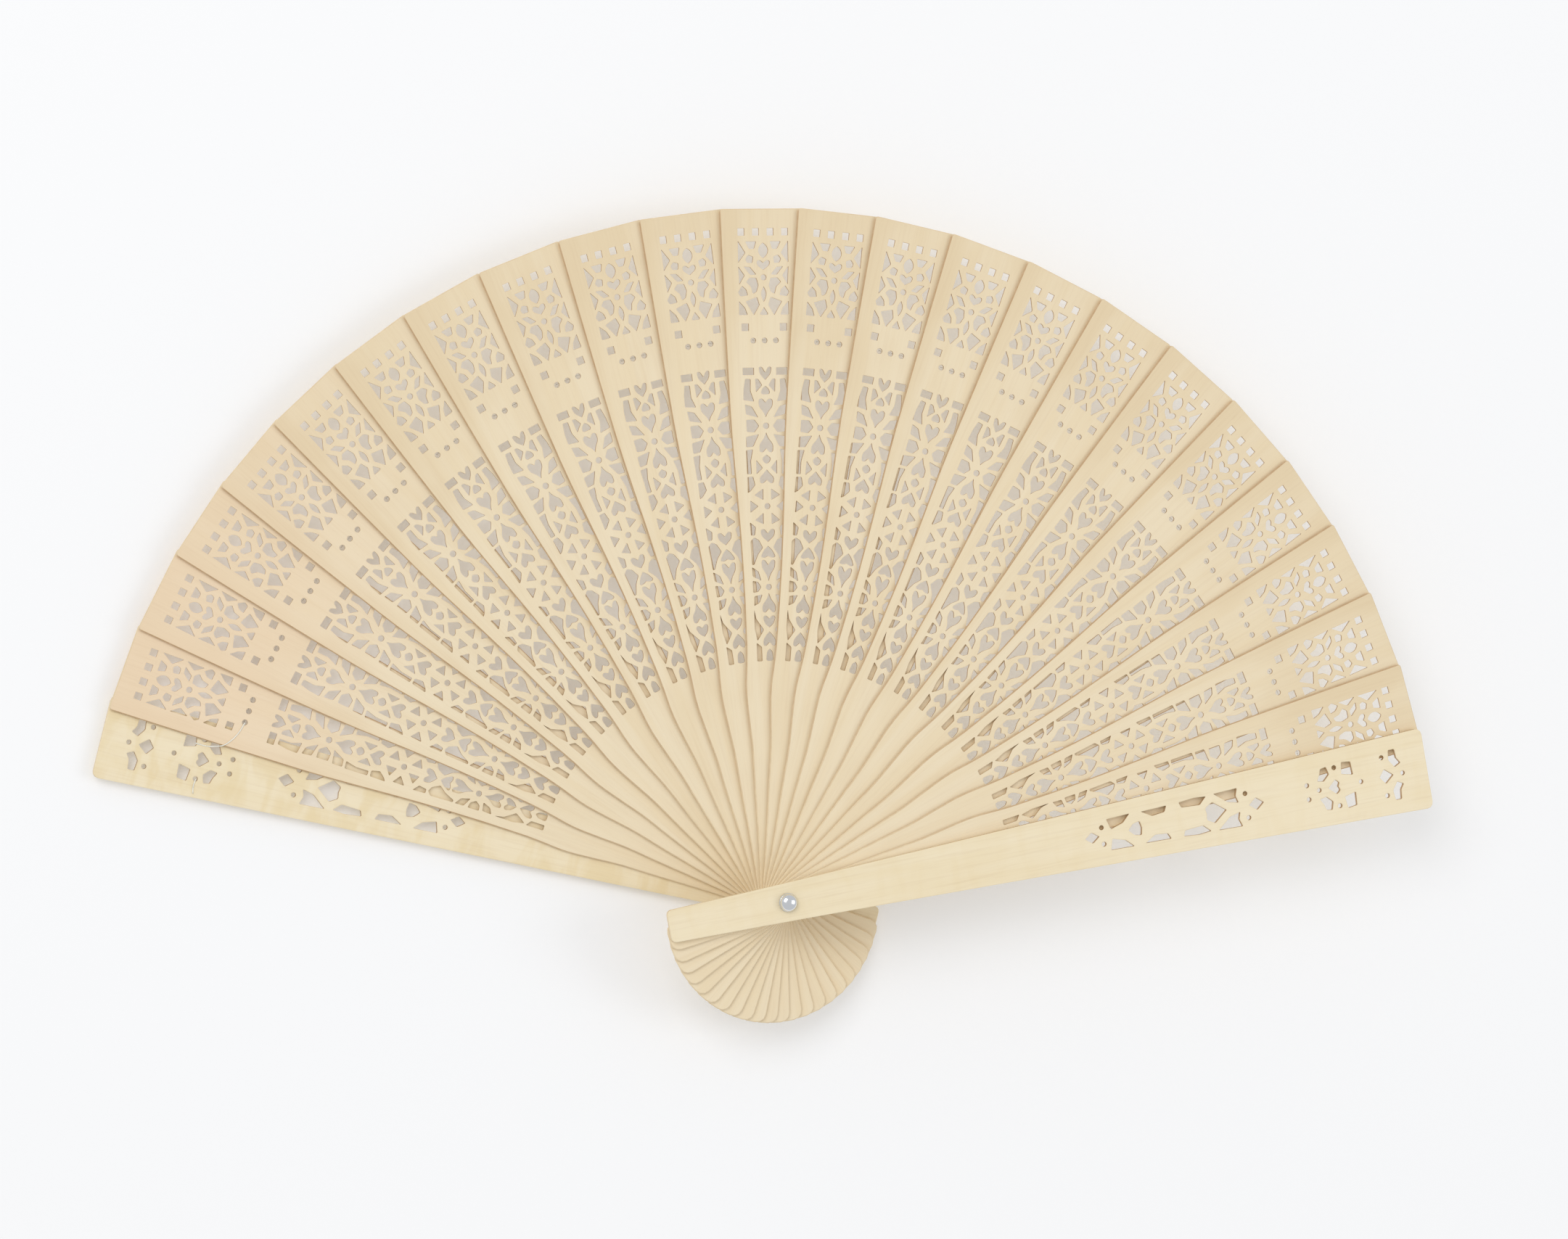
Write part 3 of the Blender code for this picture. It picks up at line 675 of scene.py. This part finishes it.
def blade_plate(name, thickness, outline, outline_ease, outline_slope, ease, piercing):
    """The fretwork of one blade, lying flat with the rivet at the origin."""
    mesh = bmesh.new()
    add_ring(mesh, mirrored(outline), outline_ease, outline_slope)
    for chain in piercing.centre_openings:
        corners = opening_corners(chain, piercing.centre_rounding, piercing.point_rounding)
        add_ring(mesh, widened(mirrored(corners), piercing.centre_growth), -ease)
    for side in (-1, 1):
        for chain in piercing.side_openings:
            corners = opening_corners(chain, piercing.side_rounding, piercing.side_rounding)
            corners = widened(corners, piercing.side_growth)
            add_ring(mesh, [(side * u, v, w) for u, v, w in corners], -ease)
        for across, inset, width, length in piercing.side_squares:
            add_square(mesh, side * across, inset, width, length, -ease)
        for across, inset, radius in piercing.side_rounds:
            add_round(mesh, side * across, inset, radius, -ease)
    for inset, radius in piercing.centre_rounds:
        add_round(mesh, 0.0, inset, radius, -ease)
    add_round(mesh, 0.0, TIP_MM, BORE_RADIUS_MM, -ease)
    fill_and_thicken(mesh, thickness)
    return finish_blade(mesh, name)


def blade_angle(node):
    """The angle of a blade about the rivet, from +Y, left positive."""
    far = [vert.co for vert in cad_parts[node].data.vertices if vert.co.xy.length > BLADE_END]
    middle = sum(far, Vector((0.0, 0.0, 0.0))) / len(far)
    return atan2(-middle.x, middle.y)


def blade_heights(node):
    """The heights of a blade's back and front face."""
    low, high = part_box(node)
    return low.z, high.z


def add_object(name, data):
    """A new object at the origin."""
    piece = bpy.data.objects.new(name, data)
    bpy.context.scene.collection.objects.link(piece)
    return piece


def add_blade(name, template, node, body, plank, finishes):
    """A copy of a plate, put where its CAD node lies."""
    low, high = blade_heights(node)
    data = template.copy()
    data.name = name
    place = Matrix.Translation((0, 0, (low + high) / 2)) @ Matrix.Rotation(blade_angle(node), 4, "Z")
    data.transform(place)
    number = data.attributes.new("plank", "FLOAT", "POINT")
    number.data.foreach_set("value", [plank] * len(data.vertices))
    for finish in finishes:
        data.materials.append(finish)
    piece = add_object(name, data)
    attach(piece, body)
    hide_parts(node)


def on_arc(blade, across, radius, height):
    """A point beside a blade's centre line, measured along an arc to its right."""
    turn = blade - across / radius
    return Vector((-radius * sin(turn), radius * cos(turn), height))


def ply_profile(diameter):
    """The section of two plies side by side."""
    profile = bpy.data.curves.new("ply_section", "CURVE")
    spline = profile.splines.new("POLY")
    spline.points.add(PLY_SIDES - 1)
    spline.use_cyclic_u = True
    for index, point in enumerate(spline.points):
        turn = 2 * pi * index / PLY_SIDES
        reach = diameter / 2 * (PLY_MEAN + PLY_SWING * cos(2 * turn))
        point.co = (reach * cos(turn), reach * sin(turn), 0.0, 1.0)
    return add_object("ply_section", profile)


def thread_piece(name, route, section, finish):
    """A twisted thread along a smooth line through a route of points."""
    thread = bpy.context.scene.fan_thread
    curve = bpy.data.curves.new(name, "CURVE")
    curve.dimensions = "3D"
    curve.resolution_u = 14
    curve.bevel_mode = "OBJECT"
    curve.bevel_object = section
    curve.use_fill_caps = True
    spline = curve.splines.new("BEZIER")
    spline.bezier_points.add(len(route) - 1)
    spline.tilt_interpolation = "LINEAR"
    run = 0.0
    for index, (point, place) in enumerate(zip(spline.bezier_points, route)):
        if index:
            run += (place - route[index - 1]).length
        point.co = place
        point.tilt = 2 * pi * run / thread.twist
        point.handle_left_type = "AUTO"
        point.handle_right_type = "AUTO"
    source = add_object(name + "_line", curve)
    bpy.context.view_layer.update()
    shown = source.evaluated_get(bpy.context.evaluated_depsgraph_get())
    data = bpy.data.meshes.new_from_object(shown)
    bpy.data.objects.remove(source)
    data.name = name
    mesh = bmesh.new()
    mesh.from_mesh(data)
    bmesh.ops.remove_doubles(mesh, verts=mesh.verts[:], dist=MERGE)
    bmesh.ops.recalc_face_normals(mesh, faces=mesh.faces[:])
    for face in mesh.faces:
        face.smooth = True
    mesh.to_mesh(data)
    mesh.free()
    data.materials.clear()
    data.materials.append(finish)
    piece = add_object(name, data)
    return piece


def stick_name(number):
    """The CAD node and body of a stick."""
    return f"stick_{number:02d}"


def stick_edge(radius):
    """Across from a stick's centre line to its edge, by the CAD outline's taper."""
    share = (radius / MM - WAIST_MM) / (TIP_MM - WAIST_MM)
    return (WAIST_HALF_WIDTH_MM + share * (TIP_HALF_WIDTH_MM - WAIST_HALF_WIDTH_MM)) * MM


def span_route(number, diameter):
    """Behind one stick, past its right edge and up to the next blade's left hole."""
    here = blade_angle(stick_name(number))
    following = "front_guard" if number == STICK_COUNT else stick_name(number + 1)
    hole = GUARD_THREAD_HOLE_ACROSS if number == STICK_COUNT else THREAD_HOLE_ACROSS
    under = blade_heights(stick_name(number))[0] - THREAD_GAP / 2
    upper = blade_heights(following)[0] - THREAD_GAP / 2
    step = 0.5 * THREAD_GAP
    past = stick_edge(THREAD_RADIUS) + diameter
    reach = (here - blade_angle(following)) * THREAD_RADIUS - hole - 2 * diameter
    return [
        on_arc(here, -THREAD_HOLE_ACROSS, THREAD_RADIUS + step, under),
        on_arc(here, 0.45 * past, THREAD_RADIUS + step, under),
        on_arc(here, 0.93 * past, THREAD_RADIUS + step, under),
        on_arc(here, past, THREAD_RADIUS + step, under),
        on_arc(here, (past + reach) / 2, THREAD_RADIUS, 0.3 * under + 0.7 * upper),
        on_arc(here, reach, THREAD_RADIUS - step, upper),
    ]


def start_route(diameter):
    """From the first stick's left hole, over its edge, to an opening of the back guard."""
    here = blade_angle(stick_name(1))
    over = blade_heights(stick_name(1))[1] + THREAD_LIFT * diameter
    guard = blade_heights("back_guard")[1] + THREAD_LIFT * diameter
    edge_radius = (TIP_MM - ARC_EDGE_INSET_MM) * MM
    end_radius = (TIP_MM - ARC_END_INSET_MM) * MM
    middle_radius = (edge_radius + end_radius) / 2
    climb = edge_radius - THREAD_RADIUS
    edge = stick_edge(edge_radius) + diameter
    past = ARC_PAST_MM * MM
    falling = 0.6 * guard + 0.4 * over
    return [
        on_arc(here, -THREAD_HOLE_ACROSS, THREAD_RADIUS, over),
        on_arc(here, -0.62 * edge, THREAD_RADIUS + 0.25 * climb, over),
        on_arc(here, -0.88 * edge, THREAD_RADIUS + 0.67 * climb, over),
        on_arc(here, -edge, edge_radius, over),
        on_arc(here, -edge - 0.4 * past, edge_radius + 0.4 * (middle_radius - edge_radius), falling),
        on_arc(here, -edge - 0.8 * past, middle_radius, guard),
        on_arc(here, -edge - past, end_radius, guard),
    ]


def loose_route(diameter):
    """The short loose end over the back guard's outer edge."""
    here = blade_angle("back_guard")
    over = blade_heights("back_guard")[1] + THREAD_LIFT * diameter
    radius = THREAD_RADIUS + LOOSE_OFFSET_MM * MM
    first, middle, last = (across * MM for across in LOOSE_ACROSS_MM)
    return [
        on_arc(here, first, radius, over),
        on_arc(here, middle, radius + LOOSE_BOW_MM * MM, over),
        on_arc(here, last, radius, over),
    ]


def turned_mesh(name, profile):
    """A profile of (radius, height) turned about the rivet's axis."""
    mesh = bmesh.new()
    verts = [mesh.verts.new((radius, 0.0, height)) for radius, height in profile]
    edges = [mesh.edges.new(pair) for pair in zip(verts, verts[1:])]
    bmesh.ops.spin(
        mesh, geom=verts + edges, cent=(0, 0, 0), axis=(0, 0, 1), angle=2 * pi, steps=48, use_merge=True
    )
    bmesh.ops.remove_doubles(mesh, verts=mesh.verts[:], dist=MERGE)
    bmesh.ops.recalc_face_normals(mesh, faces=mesh.faces[:])
    for face in mesh.faces:
        face.smooth = True
    data = bpy.data.meshes.new(name)
    mesh.to_mesh(data)
    mesh.free()
    data.set_sharp_from_angle(angle=METAL_CREASE)
    return data


def rivet_profile():
    """Domed head with a rolled rim, shank, and a flat clinched back with a rounded rim."""
    low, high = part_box("rivet")
    clearance = 0.3 * MM
    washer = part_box("front_washer")[1].z + clearance
    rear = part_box("rear_washer")[0].z - clearance
    head, rim, clinch, shank = 2.2 * MM, 0.25 * MM, 2.1 * MM, 1.2 * MM
    dome = high.z - washer - rim
    profile = []
    for step in range(9):
        turn = radians(80) * step / 8
        profile.append(((head - 0.5 * rim) * sin(turn), washer + rim + dome * cos(turn)))
    profile.extend([
        (head, washer + 0.9 * rim),
        (head, washer + 0.25 * rim),
        (head - 0.3 * rim, washer),
        (shank, washer),
        (shank, rear),
        (clinch - 0.3 * rim, rear),
        (clinch, rear - 0.3 * rim),
        (clinch, low.z + rim),
        (clinch - rim, low.z),
        (0.0, low.z),
    ])
    return profile


def washer_profile(node):
    """A flat ring with eased rims, closed on itself."""
    low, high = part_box(node)
    inner, outer, ease = 1.6 * MM, 2.3 * MM, 0.06 * MM
    return [
        (inner, high.z),
        (outer - ease, high.z),
        (outer, high.z - ease),
        (outer, low.z + ease),
        (outer - ease, low.z),
        (inner, low.z),
        (inner, high.z),
    ]


def add_turned(name, node, profile, steel):
    """A turned metal piece that stands for a CAD node."""
    data = turned_mesh(name, profile)
    data.materials.append(steel)
    piece = add_object(name, data)
    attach(piece, "back_guard")
    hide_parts(node)


class FAN_OT_sticks(bpy.types.Operator):
    """Build the inner sticks"""

    bl_idname = "fan.sticks"
    bl_label = "Sticks"

    def execute(self, context):
        low, high = blade_heights(stick_name(1))
        cutting = context.scene.fan_cutting
        template = blade_plate(
            "stick_plate", high - low, STICK_OUTLINE_MM, cutting.outline_ease, OUTLINE_SLOPE,
            cutting.stick_ease, STICK_PIERCING,
        )
        finishes = (stick_wood(), cut_wood())
        for number in range(1, STICK_COUNT + 1):
            name, node = f"stick_plate_{number:02d}", stick_name(number)
            add_blade(name, template, node, node, PLANK_STEP * number, finishes)
        bpy.data.meshes.remove(template)
        return {"FINISHED"}


class FAN_OT_guards(bpy.types.Operator):
    """Build the two guards"""

    bl_idname = "fan.guards"
    bl_label = "Guards"

    def execute(self, context):
        low, high = blade_heights("back_guard")
        ease = context.scene.fan_cutting.guard_ease
        template = blade_plate(
            "guard_plate", high - low, GUARD_OUTLINE_MM, ease, RIM_SLOPE, ease, GUARD_PIERCING
        )
        edge = bpy.data.materials.get("cut_wood") or cut_wood()
        for node, figure, plank in (("back_guard", 0.75, 91.0), ("front_guard", 0.2, 57.0)):
            finishes = (guard_wood(node + "_wood", figure), edge)
            add_blade(node + "_plate", template, node, node, plank, finishes)
        bpy.data.meshes.remove(template)
        return {"FINISHED"}


class FAN_OT_thread(bpy.types.Operator):
    """Build the thread that joins the sticks"""

    bl_idname = "fan.thread"
    bl_label = "Thread"

    def execute(self, context):
        diameter = context.scene.fan_thread.diameter
        finish = thread_cotton()
        section = ply_profile(diameter)
        for number in range(1, STICK_COUNT + 1):
            route = span_route(number, diameter)
            span = thread_piece(f"thread_length_{number:02d}", route, section, finish)
            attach(span, stick_name(number))
            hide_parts(f"thread_span_{number:02d}")
        bpy.data.objects.remove(section)
        diameter = context.scene.fan_thread.end_diameter
        section = ply_profile(diameter)
        route = start_route(diameter)
        start = thread_piece("thread_first_knot", route, section, finish)
        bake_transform(start)
        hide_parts("thread_start")
        loose = thread_piece("thread_tail", loose_route(diameter), section, finish)
        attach(loose, "back_guard")
        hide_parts("thread_loose_end")
        bpy.data.objects.remove(section)
        return {"FINISHED"}


class FAN_OT_rivet(bpy.types.Operator):
    """Build the rivet and its washers"""

    bl_idname = "fan.rivet"
    bl_label = "Rivet"

    def execute(self, context):
        steel = polished_steel()
        add_turned("rivet_turned", "rivet", rivet_profile(), steel)
        for node in ("front_washer", "rear_washer"):
            add_turned(node + "_turned", node, washer_profile(node), steel)
        return {"FINISHED"}


def add_light(name, place, size, power, tint):
    """A large soft light aimed at the fan's middle."""
    lamp = bpy.data.lights.new(name, "AREA")
    lamp.shape = "RECTANGLE"
    lamp.size, lamp.size_y = size
    lamp.energy = power
    lamp.color = tint
    light = add_object(name, lamp)
    light.location = place
    aim = Vector(FAN_MIDDLE) - light.location
    light.rotation_euler = aim.to_track_quat("-Z", "Y").to_euler()


class FAN_OT_stage(bpy.types.Operator):
    """Build the floor, the lights and the camera"""

    bl_idname = "fan.stage"
    bl_label = "Stage"

    def execute(self, context):
        stage = context.scene.fan_stage
        mesh = bmesh.new()
        drop = Matrix.Translation((0, 0, -FLOOR_DROP))
        bmesh.ops.create_grid(mesh, x_segments=1, y_segments=1, size=FLOOR_REACH, matrix=drop)
        data = bpy.data.meshes.new("floor")
        mesh.to_mesh(data)
        mesh.free()
        shader = Shader("floor_card")
        # Painted light: the floor's warm glow lifts the fan's shadow on it.
        shader.feed(
            shader.surface,
            {"Base Color": opaque(stage.floor), "Roughness": 0.9, "Specular IOR Level": 0.1,
             "Emission Color": (1.0, 0.94, 0.86, 1.0), "Emission Strength": stage.glow},
        )
        data.materials.append(shader.material)
        floor = add_object("floor", data)

        world = bpy.data.worlds.new("studio")
        world.use_nodes = True
        sky = world.node_tree.nodes["Background"]
        sky.inputs["Color"].default_value = (0.98, 0.99, 1.0, 1.0)
        sky.inputs["Strength"].default_value = stage.sky
        context.scene.world = world
        context.scene.view_settings.view_transform = "Standard"

        add_light("left_light", (-1.1, 0.9, 1.9), (1.3, 1.3), stage.key, (1.0, 0.985, 0.965))
        add_light("right_light", (1.5, 0.1, 1.6), (0.9, 1.1), stage.fill, (0.98, 0.99, 1.0))

        seen = bpy.data.cameras.new("camera")
        seen.lens = stage.lens
        seen.sensor_width = 36.0
        seen.clip_end = 20.0
        camera = add_object("camera", seen)
        turn = Euler([radians(angle) for angle in CAMERA_TURN_DEGREES], "XYZ").to_matrix().transposed()
        camera.rotation_euler = turn.to_euler()
        camera.location = -(turn @ Vector(CAMERA_SHIFT))
        context.scene.camera = camera
        return {"FINISHED"}


class FAN_PT_panel(bpy.types.Panel):
    """The fan's pieces and settings"""

    bl_idname = "FAN_PT_panel"
    bl_label = "Hand Fan"
    bl_space_type = "VIEW_3D"
    bl_region_type = "UI"
    bl_category = "Hand Fan"

    def draw(self, context):
        layout = self.layout
        for group, operators in PANEL_ROWS:
            box = layout.box()
            settings = getattr(context.scene, group)
            for key in settings.__annotations__:
                box.prop(settings, key)
            for operator in operators:
                box.operator(operator)


PANEL_ROWS = (
    ("fan_wood", ("fan.sticks", "fan.guards")),
    ("fan_cutting", ()),
    ("fan_thread", ("fan.thread",)),
    ("fan_rivet", ("fan.rivet",)),
    ("fan_stage", ("fan.stage",)),
)
SETTINGS = {
    "fan_wood": FanWoodSettings,
    "fan_cutting": FanCuttingSettings,
    "fan_thread": FanThreadSettings,
    "fan_rivet": FanRivetSettings,
    "fan_stage": FanStageSettings,
}
OPERATORS = (FAN_OT_sticks, FAN_OT_guards, FAN_OT_thread, FAN_OT_rivet, FAN_OT_stage)


def register():
    for name, group in SETTINGS.items():
        bpy.utils.register_class(group)
        setattr(bpy.types.Scene, name, PointerProperty(type=group))
    for operator in OPERATORS:
        bpy.utils.register_class(operator)
    bpy.utils.register_class(FAN_PT_panel)


def unregister():
    bpy.utils.unregister_class(FAN_PT_panel)
    for operator in OPERATORS:
        bpy.utils.unregister_class(operator)
    for name, group in SETTINGS.items():
        delattr(bpy.types.Scene, name)
        bpy.utils.unregister_class(group)


def main():
    register()
    bpy.ops.fan.sticks()
    bpy.ops.fan.guards()
    bpy.ops.fan.thread()
    bpy.ops.fan.rivet()
    bpy.ops.fan.stage()


if __name__ == "__main__":
    main()
